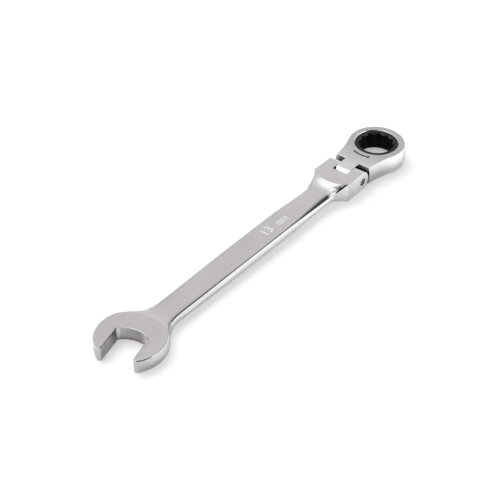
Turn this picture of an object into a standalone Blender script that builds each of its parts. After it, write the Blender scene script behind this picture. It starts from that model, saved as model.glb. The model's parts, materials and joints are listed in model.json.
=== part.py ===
"""Flex-head ratcheting combination wrench, size 13.

A forged handle carries an open end and a fork. The ratchet head swings on a cross pin in the fork and
is held at its angle by a sprung ball. Inside the head a toothed 12-point gear turns against a sprung
pawl and is kept in by a retaining ring. Metres, +Z up: the tool lies flat with its length along X.
"""

import math

import bmesh
import bpy
from mathutils import Matrix, Vector

# Open end
JAW_OPENING = 0.0132
JAW_ANGLE = math.radians(15)
JAW_WALL = 0.0069
JAW_REACH = 0.011
JAW_TIP_RADIUS = 0.0006
JAW_THICKNESS = 0.006
JAW_EDGE_RADIUS = 0.00045
THROAT_DEPTH = 0.0033
THROAT_SHOULDER_DEPTH = 0.00175
THROAT_FLAT_END = 0.0009
THROAT_CORNER_WIDTH = 0.0008
FACE_END = 0.0118  # jaw centre to the end of the flat face, along the handle
FACE_ARC_OFFSET = 0.007  # the face ends on an arc struck from this far out on the jaw axis
RAMP_LENGTH = 0.007

# Beam
BEAM_WIDTH_AT_JAW = 0.0114
BEAM_WIDTH_AT_FORK = 0.0118
BEAM_THICKNESS = 0.0044
BEAM_EDGE_RADIUS = 0.0018
NECK_FILLET = 0.009
HANDLE_LENGTH = 0.1322  # jaw centre to hinge axis

# Fork and hinge
TOOL_THICKNESS = 0.0087  # fork and ratchet head alike
FORK_WIDTH = 0.018
FORK_FACE_RADIUS = 0.0135  # the fork's flat face ends on an arc about the hinge
FORK_EDGE_RADIUS = 0.00035
SCOOP_LENGTH = 0.006
FLARE_LENGTH = 0.0115
TANG_WIDTH = 0.0066
TANG_SIDE_GAP = 0.0003
TANG_FLOOR_GAP = 0.00045
TANG_RELIEF = 0.00005  # the tang is this much under flush on each face
TANG_OVERLAP = 0.00015  # tang into the head, past the shoulder's chamfer
PIN_DIAMETER = 0.0029
PIN_CLEARANCE = 0.00006
PIN_RECESS = 0.0003  # pin ends below the fork's sides
PIN_CHAMFER = 0.0003
EAR_COUNTERSINK = 0.00035

# Ratchet head
SOCKET_ACROSS_FLATS = 0.0131
SOCKET_POINTS = 12
SOCKET_CHAMFER = 0.0006
COLLAR_WALL = 0.00165
COLLAR_CLEARANCE = 0.0002
COLLAR_INSET = 0.0001  # collar below the head's top face
COLLAR_FOOT_INSET = 0.0005  # collar above the head's underside
TOOTH_COUNT = 72
TOOTH_DEPTH = 0.0006
TOOTH_LAND = 0.000085
TOOTH_STEEP_ANGLE = math.radians(12)
TOOTH_SHOULDER = 0.00075  # collar to tooth root
TOOTH_TIP_CLEARANCE = 0.0002
HEAD_WALL = 0.00155
HEAD_WEB = 0.00135  # top web that the toothed band bears on
HEAD_EDGE_CHAMFER = 0.00035
HEAD_SHOULDER = 0.005  # hinge axis to shoulder
HEAD_SHOULDER_WIDTH = 0.0167
HEAD_NECK_LENGTH = 0.0053  # shoulder to ring
HEAD_FLANK_RADIUS = 0.05
BORE_CHAMFER = 0.0003
AXIAL_CLEARANCE = 0.00012
RING_INSET = 0.0007
RING_THICKNESS = 0.0007
RING_GROOVE_DEPTH = 0.0006
RING_CLEARANCE = 0.0001
RING_GAP = math.radians(36)

# Pawl
PAWL_WIDTH = 0.0064
PAWL_HEIGHT = 0.0048
PAWL_BODY = 0.0022  # tooth root to back face
PAWL_TRAVEL = 0.0007
PAWL_CLEARANCE = 0.00015
PAWL_BACK_CHAMFER = 0.0006
MESH_CLEARANCE = 0.00012  # gear to pawl, along the radius

# Springs and ball
PAWL_SPRING_BORE = 0.0025
PAWL_SPRING_SEAT = 0.0011  # depth of the seat in the pawl
PAWL_SPRING_DEPTH = 0.0036  # depth of the bore behind the pocket
BALL_DIAMETER = 0.003
BALL_CLEARANCE = 0.0001
DETENT_BORE_DEPTH = 0.0078
SPRING_WIRE = 0.0004
SPRING_PITCH = 0.00088
SPRING_CLEARANCE = 0.0001
SPRING_POINTS_PER_TURN = 9

CUT_MARGIN = 0.002  # how far a cutter runs past the wall it cuts
ARC_STEP = math.radians(7.5)

# Worked out from the dimensions above
HALF = TOOL_THICKNESS / 2
JAW_HALF = JAW_OPENING / 2
JAW_RADIUS = JAW_HALF + JAW_WALL
TANG_HALF = TANG_WIDTH / 2
TANG_RADIUS = HALF - TANG_RELIEF
PIN_HOLE_RADIUS = PIN_DIAMETER / 2 + PIN_CLEARANCE
SOCKET_CORNER = SOCKET_ACROSS_FLATS / 2 / math.cos(math.pi / 6)
SOCKET_VALLEY = SOCKET_ACROSS_FLATS / 2 / math.cos(math.pi / SOCKET_POINTS)
COLLAR_RADIUS = SOCKET_CORNER + COLLAR_WALL
TOOTH_ROOT = COLLAR_RADIUS + TOOTH_SHOULDER
TOOTH_TIP = TOOTH_ROOT + TOOTH_DEPTH
GEAR_BORE = TOOTH_TIP + TOOTH_TIP_CLEARANCE
RING_SEAT = GEAR_BORE + RING_GROOVE_DEPTH
HEAD_RADIUS = GEAR_BORE + HEAD_WALL
GROOVE_LOW = -HALF + RING_INSET
GROOVE_HIGH = GROOVE_LOW + RING_THICKNESS + 2 * RING_CLEARANCE
BAND_LOW = GROOVE_HIGH + AXIAL_CLEARANCE
BAND_HIGH = HALF - HEAD_WEB - AXIAL_CLEARANCE
SOCKET_OFFSET = HEAD_SHOULDER + HEAD_NECK_LENGTH + HEAD_RADIUS  # hinge axis to socket axis
JAW_TIP_WIDTH = math.sqrt(max(JAW_RADIUS**2 - JAW_REACH**2, JAW_HALF**2))
JAW_FRONT = JAW_REACH * math.cos(JAW_ANGLE) + JAW_TIP_WIDTH * math.sin(JAW_ANGLE)
LENGTH = JAW_FRONT + HANDLE_LENGTH + SOCKET_OFFSET + HEAD_RADIUS
JAW_AT = Vector((JAW_FRONT - LENGTH / 2, 0, HALF))
HINGE_AT = JAW_AT + Vector((HANDLE_LENGTH, 0, 0))
SOCKET_AT = HINGE_AT + Vector((SOCKET_OFFSET, 0, 0))


def clear_scene():
    for obj in list(bpy.data.objects):
        bpy.data.objects.remove(obj, do_unlink=True)


def metal(name, colour, roughness):
    finish = bpy.data.materials.new(name)
    finish.use_nodes = True
    shader = finish.node_tree.nodes["Principled BSDF"]
    shader.inputs["Base Color"].default_value = (*colour, 1)
    shader.inputs["Metallic"].default_value = 1
    shader.inputs["Roughness"].default_value = roughness
    return finish


def add_object(name, data, at, finish=None):
    """Links a part, or a cutter where no finish is given, with its origin at a point in the world."""
    obj = bpy.data.objects.new(name, data)
    obj.location = at
    bpy.context.collection.objects.link(obj)
    if finish:
        data.materials.append(finish)
    else:
        obj.hide_render = True
        obj.display_type = "WIRE"
    return obj


def mesh_of(name, bm):
    bmesh.ops.recalc_face_normals(bm, faces=bm.faces)
    mesh = bpy.data.meshes.new(name)
    bm.to_mesh(mesh)
    bm.free()
    mesh.shade_smooth()
    mesh.set_sharp_from_angle(angle=math.radians(35))
    return mesh


def arc(centre, radius, start, stop):
    steps = max(2, math.ceil(abs(stop - start) / ARC_STEP))
    angles = [start + (stop - start) * i / steps for i in range(steps + 1)]
    return [(centre[0] + radius * math.cos(a), centre[1] + radius * math.sin(a)) for a in angles]


def circle(radius, steps=64):
    return [
        (radius * math.cos(a), radius * math.sin(a))
        for a in (2 * math.pi * i / steps for i in range(steps))
    ]


def prism(name, outline, low, high, axis="Z", chamfer=0):
    """A closed solid: an outline extruded along an axis, with its two end outlines chamfered."""
    bm = bmesh.new()
    ends = []
    for level in (low, high):
        verts = [bm.verts.new((x, y, level)) for x, y in outline]
        ends.append((bm.faces.new(verts), verts))
    count = len(outline)
    (_, bottom), (_, top) = ends
    for i in range(count):
        j = (i + 1) % count
        bm.faces.new((bottom[i], bottom[j], top[j], top[i]))
    bmesh.ops.recalc_face_normals(bm, faces=bm.faces)
    if chamfer:
        rims = list({edge for face, _ in ends for edge in face.edges})
        bmesh.ops.bevel(bm, geom=rims, offset=chamfer, segments=1, affect="EDGES", clamp_overlap=False)
    if axis == "Y":
        bm.transform(Matrix(((1, 0, 0, 0), (0, 0, 1, 0), (0, 1, 0, 0), (0, 0, 0, 1))))
    elif axis == "X":
        bm.transform(Matrix(((0, 0, 1, 0), (1, 0, 0, 0), (0, 1, 0, 0), (0, 0, 0, 1))))
    return mesh_of(name, bm)


def turned(name, profile, axis="Z", steps=64):
    """A solid of revolution from (radius, height) points; the first and last points close on the axis."""
    bm = bmesh.new()
    rings = []
    for radius, height in profile:
        rings.append([bm.verts.new((x, y, height)) for x, y in circle(radius, steps)])
    bm.faces.new(rings[0])
    bm.faces.new(rings[-1])
    for lower, upper in zip(rings, rings[1:]):
        for i in range(steps):
            j = (i + 1) % steps
            bm.faces.new((lower[i], lower[j], upper[j], upper[i]))
    if axis == "Y":
        bm.transform(Matrix.Rotation(-math.pi / 2, 4, "X"))
    elif axis == "X":
        bm.transform(Matrix.Rotation(math.pi / 2, 4, "Y"))
    return mesh_of(name, bm)


def boolean(target, tool, operation="DIFFERENCE"):
    modifier = target.modifiers.new(tool.name, "BOOLEAN")
    modifier.object = tool
    modifier.operation = operation
    modifier.solver = "EXACT"


def cut(target, name, mesh, at):
    boolean(target, add_object(name, mesh, at))


# Handle


def jaw_point(u, v):
    """Jaw axis coordinates (u outwards, v across) to handle coordinates."""
    c, s = math.cos(JAW_ANGLE), math.sin(JAW_ANGLE)
    return (-u * c - v * s, -u * s + v * c)


def mouth_outline():
    """The mouth between the jaws, with the space past their tips."""
    far = 3 * JAW_RADIUS
    run = THROAT_DEPTH - THROAT_SHOULDER_DEPTH
    half_chord = JAW_HALF - THROAT_CORNER_WIDTH
    base_radius = (half_chord**2 + run**2) / (2 * run)
    swing = math.asin(half_chord / base_radius)
    tip = arc(
        (JAW_REACH - JAW_TIP_RADIUS, JAW_HALF + JAW_TIP_RADIUS), JAW_TIP_RADIUS, 0, -math.pi / 2
    )
    upper = [(far, far), (JAW_REACH, far), *tip, (-THROAT_FLAT_END, JAW_HALF)]
    base = arc((base_radius - THROAT_DEPTH, 0), base_radius, math.pi - swing, math.pi + swing)
    lower = [(u, -v) for u, v in reversed(upper)]
    return [jaw_point(u, v) for u, v in upper + base + lower]


def blend(value, start, stop):
    """0 before start, 1 after stop, smooth between."""
    t = min(max((value - start) / (stop - start), 0), 1)
    return t * t * (3 - 2 * t)


class HandlePlan:
    """The handle seen from above: half its width at each x from the jaw centre."""

    def __init__(self):
        self.jaw_half = BEAM_WIDTH_AT_JAW / 2
        self.fork_half = BEAM_WIDTH_AT_FORK / 2
        reach = JAW_RADIUS + NECK_FILLET
        self.neck_end = math.sqrt(reach**2 - (self.jaw_half + NECK_FILLET) ** 2)
        self.neck_start = self.neck_end * JAW_RADIUS / reach
        self.fork_start = HANDLE_LENGTH - math.sqrt(FORK_FACE_RADIUS**2 - (FORK_WIDTH / 2) ** 2)
        self.flare_start = self.fork_start - FLARE_LENGTH
        rise = FORK_WIDTH / 2 - self.fork_half
        self.flare_radius = (FLARE_LENGTH**2 + rise**2) / (2 * rise)

    def half_width(self, x):
        if x <= self.neck_start:
            return math.sqrt(max(JAW_RADIUS**2 - x**2, 0))
        if x <= self.neck_end:
            run = self.neck_end - x
            return self.jaw_half + NECK_FILLET - math.sqrt(NECK_FILLET**2 - run**2)
        if x <= self.flare_start:
            share = (x - self.neck_end) / (self.flare_start - self.neck_end)
            return self.jaw_half + share * (self.fork_half - self.jaw_half)
        if x < self.fork_start:
            run = x - self.flare_start
            return self.fork_half + self.flare_radius - math.sqrt(self.flare_radius**2 - run**2)
        return FORK_WIDTH / 2


class Station:
    """One section of the handle: where it crosses the axis, how it bows in plan, its height and edges."""

    def __init__(self, x, half_height, edge, bow_radius=0, bow_centre=0):
        self.x = x
        self.half_height = half_height
        self.edge = min(edge, 0.8 * half_height)
        self.bow_radius = bow_radius
        self.bow_centre = bow_centre

    def bowed(self, y):
        """x of the section at y: an arc struck about bow_centre, ahead of it or behind."""
        if not self.bow_radius:
            return self.x
        radius = abs(self.bow_radius)
        across = min(abs(y - self.bow_centre), 0.98 * radius)
        start = math.sqrt(radius**2 - self.bow_centre**2)
        sag = start - math.sqrt(radius**2 - across**2)
        return self.x + math.copysign(sag, self.bow_radius)

    def side(self, plan, sign):
        """y where the section meets the plan's outline."""
        low, high = 0, 1.05 * max(JAW_RADIUS, FORK_WIDTH / 2)
        for _ in range(40):
            middle = (low + high) / 2
            if middle < plan.half_width(self.bowed(sign * middle)):
                low = middle
            else:
                high = middle
        return sign * low

    def points(self, plan):
        left, right = self.side(plan, 1), self.side(plan, -1)
        level = self.half_height - self.edge
        corner = [math.pi / 2 * i / 3 for i in range(4)]
        top = [
            (right + self.edge * (1 - math.cos(a)), level + self.edge * math.sin(a)) for a in corner
        ]
        inner = [top[-1][0] + (left - self.edge - top[-1][0]) * i / 6 for i in range(1, 6)]
        top += [(y, self.half_height) for y in inner]
        top += [
            (left - self.edge * (1 - math.cos(a)), level + self.edge * math.sin(a))
            for a in reversed(corner)
        ]
        loop = top + [(y, -z) for y, z in reversed(top)]
        return [(self.bowed(y), y, z) for y, z in loop]


def spaced(start, stop, count):
    return [start + (stop - start) * i / count for i in range(count)]


def handle_stations(plan):
    """Sections from the jaw tips to the fork's ear tips."""
    beam_half, jaw_half = BEAM_THICKNESS / 2, JAW_THICKNESS / 2
    centre_y = -FACE_ARC_OFFSET * math.sin(JAW_ANGLE)
    face_radius = math.hypot(FACE_END + FACE_ARC_OFFSET * math.cos(JAW_ANGLE), centre_y)
    ramp_drop = jaw_half - beam_half
    ramp_radius = (RAMP_LENGTH**2 + ramp_drop**2) / (2 * ramp_drop)
    scoop_rise = HALF - beam_half
    scoop_radius = (SCOOP_LENGTH**2 + scoop_rise**2) / (2 * scoop_rise)
    scoop_end = HANDLE_LENGTH - FORK_FACE_RADIUS
    scoop_start = scoop_end - SCOOP_LENGTH
    stations = []
    # Jaw head: a flat disc, in even steps round its rim. The sections bow more and more towards the
    # arc where the flat face ends.
    for angle in spaced(math.radians(18), math.radians(150), 22):
        x = -JAW_RADIUS * math.cos(angle)
        share = blend(x, -JAW_RADIUS / 2, FACE_END)
        bow = -face_radius / share if share > 0.05 else 0
        if x < FACE_END - RAMP_LENGTH / 16:
            stations.append(Station(x, jaw_half, JAW_EDGE_RADIUS, bow, centre_y * share))
    # Ramp from the face down to the beam, through the neck
    for run in spaced(0, RAMP_LENGTH, 9):
        x = FACE_END + run
        left = RAMP_LENGTH - run
        height = beam_half + ramp_radius - math.sqrt(ramp_radius**2 - left**2)
        edge = JAW_EDGE_RADIUS + (BEAM_EDGE_RADIUS - JAW_EDGE_RADIUS) * blend(run, 0, RAMP_LENGTH)
        stations.append(Station(x, height, edge, -face_radius, centre_y))
    for x in spaced(FACE_END + RAMP_LENGTH, scoop_start, 6):
        share = 1 - (x - FACE_END - RAMP_LENGTH) / (scoop_start - FACE_END - RAMP_LENGTH)
        bow = -face_radius / share if share > 0.7 else 0
        stations.append(Station(x, beam_half, BEAM_EDGE_RADIUS, bow, centre_y * share))
    # Scoop up to the fork's face, on arcs about the hinge
    for run in spaced(0, SCOOP_LENGTH, 8):
        x = scoop_start + run
        height = beam_half + scoop_radius - math.sqrt(scoop_radius**2 - run**2)
        share = blend(run, 0, SCOOP_LENGTH / 2)
        edge = BEAM_EDGE_RADIUS + (FORK_EDGE_RADIUS - BEAM_EDGE_RADIUS) * share
        stations.append(Station(x, height, edge, HANDLE_LENGTH - x))
    stations.append(Station(scoop_end, HALF, FORK_EDGE_RADIUS, FORK_FACE_RADIUS))
    # Fork, with ears rounded about the hinge
    for angle in spaced(0, math.radians(90), 10):
        x = HANDLE_LENGTH + HALF * math.sin(angle)
        stations.append(Station(x, HALF * math.cos(angle), FORK_EDGE_RADIUS))
    return stations


def handle_mesh():
    plan = HandlePlan()
    bm = bmesh.new()
    loops = []
    for station in handle_stations(plan):
        loops.append([bm.verts.new(point) for point in station.points(plan)])
    bm.faces.new(loops[0])
    bm.faces.new(loops[-1])
    count = len(loops[0])
    for near, far in zip(loops, loops[1:]):
        for i in range(count):
            j = (i + 1) % count
            bm.faces.new((near[i], near[j], far[j], far[i]))
    return mesh_of("handle", bm)


def pin_hole_profile():
    """The hinge hole through the fork, countersunk at both sides."""
    radius = PIN_HOLE_RADIUS
    side = FORK_WIDTH / 2
    outer = radius + EAR_COUNTERSINK
    return [
        (outer, -side - CUT_MARGIN),
        (outer, -side),
        (radius, -side + EAR_COUNTERSINK),
        (radius, side - EAR_COUNTERSINK),
        (outer, side),
        (outer, side + CUT_MARGIN),
    ]


def ball_place():
    """x of the ball's centre and of its bore's floor, from the hinge axis."""
    centre = -(TANG_RADIUS + BALL_CLEARANCE + BALL_DIAMETER / 2)
    floor = -(TANG_RADIUS + TANG_FLOOR_GAP + DETENT_BORE_DEPTH)
    return centre, floor


def build_handle(finish):
    handle = add_object("handle", handle_mesh(), JAW_AT, finish)
    cut(handle, "mouth_cutter", prism("mouth_cutter", mouth_outline(), -HALF, HALF), JAW_AT)
    slot_half = TANG_HALF + TANG_SIDE_GAP
    floor = -(TANG_RADIUS + TANG_FLOOR_GAP)
    tip = HALF + CUT_MARGIN
    slot = [(floor, -slot_half), (tip, -slot_half), (tip, slot_half), (floor, slot_half)]
    cut(handle, "slot_cutter", prism("slot_cutter", slot, -HALF - CUT_MARGIN, HALF + CUT_MARGIN), HINGE_AT)
    hole = turned("ear_hole_cutter", pin_hole_profile(), axis="Y", steps=32)
    cut(handle, "ear_hole_cutter", hole, HINGE_AT)
    bore_radius = BALL_DIAMETER / 2 + BALL_CLEARANCE
    _, bore_floor = ball_place()
    bore = [(bore_radius, bore_floor), (bore_radius, floor + CUT_MARGIN)]
    cut(handle, "detent_bore_cutter", turned("detent_bore_cutter", bore, axis="X", steps=24), HINGE_AT)
    return handle


def build_pin(finish):
    radius, half = PIN_DIAMETER / 2, FORK_WIDTH / 2 - PIN_RECESS
    end = radius - PIN_CHAMFER
    profile = [(end, -half), (radius, PIN_CHAMFER - half), (radius, half - PIN_CHAMFER), (end, half)]
    return add_object("hinge_pin", turned("hinge_pin", profile, axis="Y", steps=32), HINGE_AT, finish)


# Ratchet head, in coordinates from the hinge axis


def head_outline():
    """Shoulder, concave flanks and ring, from above."""
    corner = Vector((HEAD_SHOULDER, HEAD_SHOULDER_WIDTH / 2))
    ring = Vector((SOCKET_OFFSET, 0))
    reach = HEAD_RADIUS + HEAD_FLANK_RADIUS
    apart = corner - ring
    gap = apart.length
    along = (gap**2 + reach**2 - HEAD_FLANK_RADIUS**2) / (2 * gap)
    across = math.sqrt(reach**2 - along**2)
    line = apart.normalized()
    centre = ring + line * along + Vector((line.y, -line.x)) * across
    touch = centre - ring
    ring_angle = math.atan2(touch.y, touch.x)
    first = corner - centre
    flank_start = math.atan2(first.y, first.x)
    flank_stop = math.atan2(-touch.y, -touch.x)
    steps = 6
    flank = [
        (
            centre.x + HEAD_FLANK_RADIUS * math.cos(flank_start + (flank_stop - flank_start) * i / steps),
            centre.y + HEAD_FLANK_RADIUS * math.sin(flank_start + (flank_stop - flank_start) * i / steps),
        )
        for i in range(steps)
    ]
    rim = arc(ring, HEAD_RADIUS, ring_angle, -ring_angle)
    return flank + rim + [(x, -y) for x, y in reversed(flank)]


def tang_outline():
    """The tang from the side: round about the hinge, then straight into the head."""
    root = HEAD_SHOULDER + HEAD_EDGE_CHAMFER + TANG_OVERLAP
    return [*arc((0, 0), TANG_RADIUS, math.pi / 2, 3 * math.pi / 2), (root, -TANG_RADIUS), (root, TANG_RADIUS)]


def gear_bore_profile():
    """Bore for the toothed band, with the ring's groove below and the web's narrower hole above."""
    collar = COLLAR_RADIUS + COLLAR_CLEARANCE
    mouth = GEAR_BORE + BORE_CHAMFER
    return [
        (mouth, -HALF - CUT_MARGIN),
        (mouth, -HALF),
        (GEAR_BORE, -HALF + BORE_CHAMFER),
        (GEAR_BORE, GROOVE_LOW),
        (RING_SEAT, GROOVE_LOW),
        (RING_SEAT, GROOVE_HIGH),
        (GEAR_BORE, GROOVE_HIGH),
        (GEAR_BORE, HALF - HEAD_WEB),
        (collar, HALF - HEAD_WEB),
        (collar, HALF - BORE_CHAMFER),
        (collar + BORE_CHAMFER, HALF),
        (collar + BORE_CHAMFER, HALF + CUT_MARGIN),
    ]


def pawl_places():
    """x of the pawl's back face, the pocket's back wall and the spring bore's floor, from the socket axis."""
    back = -(TOOTH_TIP + MESH_CLEARANCE + PAWL_BODY)
    wall = back - PAWL_TRAVEL - PAWL_CLEARANCE
    return back, wall, wall - PAWL_SPRING_DEPTH


def build_head(finish):
    head = add_object(
        "ratchet_head",
        prism("ratchet_head", head_outline(), -HALF, HALF, chamfer=HEAD_EDGE_CHAMFER),
        HINGE_AT,
        finish,
    )
    tang = prism("tang", tang_outline(), -TANG_HALF, TANG_HALF, axis="Y", chamfer=HEAD_EDGE_CHAMFER)
    boolean(head, add_object("tang", tang, HINGE_AT), "UNION")
    cut(head, "gear_bore_cutter", turned("gear_bore_cutter", gear_bore_profile()), SOCKET_AT)
    _, wall, spring_floor = pawl_places()
    half_width, half_height = PAWL_WIDTH / 2 + PAWL_CLEARANCE, PAWL_HEIGHT / 2 + PAWL_CLEARANCE
    front = -TOOTH_ROOT
    pocket = [(wall, -half_width), (front, -half_width), (front, half_width), (wall, half_width)]
    middle = SOCKET_AT + Vector((0, 0, (BAND_LOW + BAND_HIGH) / 2))
    cut(head, "pawl_pocket_cutter", prism("pawl_pocket_cutter", pocket, -half_height, half_height), middle)
    bore_radius = PAWL_SPRING_BORE / 2
    bore = turned(
        "pawl_spring_bore_cutter",
        [(bore_radius, spring_floor), (bore_radius, wall + CUT_MARGIN)],
        axis="X",
        steps=24,
    )
    cut(head, "pawl_spring_bore_cutter", bore, middle)
    side = TANG_HALF + CUT_MARGIN
    hole = turned(
        "tang_hole_cutter", [(PIN_HOLE_RADIUS, -side), (PIN_HOLE_RADIUS, side)], axis="Y", steps=32
    )
    cut(head, "tang_hole_cutter", hole, HINGE_AT)
    return head


def tooth_outline(growth=0):
    """Ratchet teeth round the gear: a steep flank, a short land and a sloping flank on each."""
    root, tip = TOOTH_ROOT + growth, TOOTH_TIP + growth
    pitch = 2 * math.pi / TOOTH_COUNT
    steep = TOOTH_DEPTH * math.tan(TOOTH_STEEP_ANGLE) / root
    land = TOOTH_LAND / root
    points = []
    for i in range(TOOTH_COUNT):
        start = math.pi + i * pitch
        for radius, angle in (
            (root, start),
            (tip, start + steep),
            (tip, start + steep + land),
            (root, start + pitch - land),
        ):
            points.append((radius * math.cos(angle), radius * math.sin(angle)))
    return points


def socket_outline():
    """A 12-point star whose corners lie half a tooth off the teeth."""
    step = math.pi / SOCKET_POINTS
    first = -math.pi / TOOTH_COUNT
    points = []
    for i in range(2 * SOCKET_POINTS):
        radius = SOCKET_VALLEY if i % 2 else SOCKET_CORNER
        points.append((radius * math.cos(first + i * step), radius * math.sin(first + i * step)))
    return points


def build_gear(finish):
    gear = add_object(
        "drive_gear", prism("drive_gear", tooth_outline(), BAND_LOW, BAND_HIGH), SOCKET_AT, finish
    )
    top, foot = HALF - COLLAR_INSET, COLLAR_FOOT_INSET - HALF
    collar = turned("collar", [(COLLAR_RADIUS, foot), (COLLAR_RADIUS, top)], steps=TOOTH_COUNT)
    boolean(gear, add_object("collar", collar, SOCKET_AT), "UNION")
    star = prism("socket_cutter", socket_outline(), -HALF - CUT_MARGIN, HALF + CUT_MARGIN)
    cut(gear, "socket_cutter", star, SOCKET_AT)
    mouth = SOCKET_VALLEY + SOCKET_CHAMFER
    countersink = [
        (mouth + CUT_MARGIN, foot - CUT_MARGIN),
        (SOCKET_VALLEY - CUT_MARGIN, foot + SOCKET_CHAMFER + CUT_MARGIN),
        (SOCKET_VALLEY - CUT_MARGIN, top - SOCKET_CHAMFER - CUT_MARGIN),
        (mouth + CUT_MARGIN, top + CUT_MARGIN),
    ]
    cut(gear, "socket_chamfer_cutter", turned("socket_chamfer_cutter", countersink), SOCKET_AT)
    return gear


def build_pawl(finish):
    back, _, _ = pawl_places()
    half_width, half_height = PAWL_WIDTH / 2, PAWL_HEIGHT / 2
    front = -math.sqrt(TOOTH_ROOT**2 - half_width**2)
    outline = [
        (back, half_width - PAWL_BACK_CHAMFER),
        (back, PAWL_BACK_CHAMFER - half_width),
        (back + PAWL_BACK_CHAMFER, -half_width),
        (front, -half_width),
        (front, half_width),
        (back + PAWL_BACK_CHAMFER, half_width),
    ]
    middle = SOCKET_AT + Vector((0, 0, (BAND_LOW + BAND_HIGH) / 2))
    pawl = add_object("pawl", prism("pawl", outline, -half_height, half_height), middle, finish)
    teeth = prism("pawl_teeth_cutter", tooth_outline(MESH_CLEARANCE), -HALF, HALF)
    cut(pawl, "pawl_teeth_cutter", teeth, middle)
    seat_radius = PAWL_SPRING_BORE / 2
    seat = [(seat_radius, back - CUT_MARGIN), (seat_radius, back + PAWL_SPRING_SEAT)]
    cut(pawl, "pawl_seat_cutter", turned("pawl_seat_cutter", seat, axis="X", steps=24), middle)
    return pawl


def build_ring(finish):
    outer, inner = RING_SEAT - RING_CLEARANCE, COLLAR_RADIUS + COLLAR_CLEARANCE
    start, stop = RING_GAP / 2, 2 * math.pi - RING_GAP / 2
    outline = arc((0, 0), outer, start, stop) + arc((0, 0), inner, stop, start)
    low = GROOVE_LOW + RING_CLEARANCE
    return add_object(
        "retaining_ring", prism("retaining_ring", outline, low, low + RING_THICKNESS), SOCKET_AT, finish
    )


# Springs and ball


def spring_points(radius, start, stop):
    turns = (stop - start) / SPRING_PITCH
    count = max(3, round(turns * SPRING_POINTS_PER_TURN))
    points = []
    for i in range(count + 1):
        share = i / count
        angle = 2 * math.pi * turns * share
        points.append(
            Vector((start + (stop - start) * share, radius * math.cos(angle), radius * math.sin(angle)))
        )
    return points


def least_gap(points):
    """The least clear space between turns of a spring, measured on its points."""
    apart = SPRING_POINTS_PER_TURN // 2
    pairs = ((a, b) for i, a in enumerate(points) for b in points[i + apart :])
    return min((a - b).length for a, b in pairs) - SPRING_WIRE


def build_spring(name, bore_radius, start, stop, at, finish):
    """A helix of round wire along X, from one seat to the other."""
    radius = bore_radius - SPRING_CLEARANCE - SPRING_WIRE / 2
    points = spring_points(radius, start, stop)
    print(f"{name}: least gap between turns {1000 * least_gap(points):.2f} mm")
    wire = bpy.data.curves.new(name, "CURVE")
    wire.dimensions = "3D"
    wire.bevel_depth = SPRING_WIRE / 2
    wire.bevel_resolution = 1
    wire.use_fill_caps = True
    spline = wire.splines.new("POLY")
    spline.points.add(len(points) - 1)
    for slot, point in zip(spline.points, points):
        slot.co = (*point, 1)
    return add_object(name, wire, at, finish)


def build_pawl_spring(finish):
    back, _, floor = pawl_places()
    end_gap = SPRING_WIRE / 2 + SPRING_CLEARANCE
    middle = SOCKET_AT + Vector((0, 0, (BAND_LOW + BAND_HIGH) / 2))
    start, stop = floor + end_gap, back + PAWL_SPRING_SEAT - end_gap
    return build_spring("pawl_spring", PAWL_SPRING_BORE / 2, start, stop, middle, finish)


def build_detent(ball_finish, spring_finish):
    centre, floor = ball_place()
    radius = BALL_DIAMETER / 2
    bm = bmesh.new()
    bmesh.ops.create_uvsphere(bm, u_segments=20, v_segments=12, radius=radius)
    at = HINGE_AT + Vector((centre, 0, 0))
    ball = add_object("detent_ball", mesh_of("detent_ball", bm), at, ball_finish)
    end_gap = SPRING_WIRE / 2 + SPRING_CLEARANCE
    coil_radius = radius + BALL_CLEARANCE - end_gap
    stop = centre - math.sqrt((radius + end_gap) ** 2 - coil_radius**2)
    spring = build_spring(
        "detent_spring", radius + BALL_CLEARANCE, floor + end_gap, stop, HINGE_AT, spring_finish
    )
    return ball, spring


def hang_on(name, at, pieces):
    """Puts moving pieces under an empty on their joint's axis."""
    pivot = bpy.data.objects.new(name, None)
    pivot.location = at
    bpy.context.collection.objects.link(pivot)
    for piece in pieces:
        piece.parent = pivot
        piece.location = piece.location - at
    return pivot


def main():
    clear_scene()
    satin = metal("satin_chrome", (0.60, 0.59, 0.58), 0.28)
    head_satin = metal("head_chrome", (0.58, 0.57, 0.56), 0.26)
    black = metal("black_oxide", (0.025, 0.025, 0.027), 0.42)
    pin_steel = metal("pin_steel", (0.42, 0.41, 0.40), 0.32)
    pawl_steel = metal("hardened_steel", (0.20, 0.20, 0.21), 0.38)
    spring_steel = metal("spring_steel", (0.45, 0.44, 0.43), 0.30)
    ring_steel = metal("ring_steel", (0.10, 0.10, 0.11), 0.40)
    ball_steel = metal("ball_steel", (0.65, 0.65, 0.66), 0.12)
    build_handle(satin)
    build_pin(pin_steel)
    build_detent(ball_steel, spring_steel)
    head = build_head(head_satin)
    gear = build_gear(black)
    pawl = build_pawl(pawl_steel)
    ring = build_ring(ring_steel)
    pawl_spring = build_pawl_spring(spring_steel)
    hang_on("head_hinge", HINGE_AT, [head, gear, pawl, ring, pawl_spring])


main()
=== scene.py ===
import json
import math

import bmesh
import bpy
from mathutils import Matrix, Vector


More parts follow.
